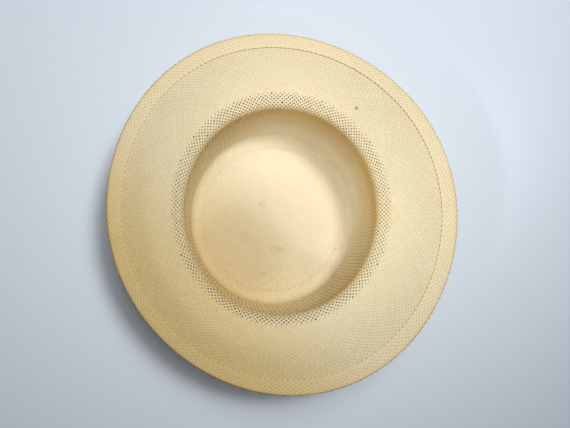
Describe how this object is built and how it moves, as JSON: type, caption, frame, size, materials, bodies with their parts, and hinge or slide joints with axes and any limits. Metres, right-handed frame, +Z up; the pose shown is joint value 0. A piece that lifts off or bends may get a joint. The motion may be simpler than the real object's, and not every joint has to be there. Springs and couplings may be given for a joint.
{
  "type": "woven straw hat",
  "caption": "Woven straw hat with a flat-topped oval crown and a wide brim hemmed at its edge, lying upside down on its crown.",
  "frame": {"origin": "middle of the crown's flat top, on its outer face, which the hat lies on", "axes": "+Z up from the crown's flat top to the head opening, +Y to the front of the hat, +X to one side"},
  "size_m": [0.3205, 0.3268, 0.1003],
  "materials": {
    "straw": "natural pale straw in a fine diagonal weave, dry and nearly matt with a faint sheen along the strands"
  },
  "bodies": {
    "root": {"straw_body": "straw"}
  },
  "joints": []
}
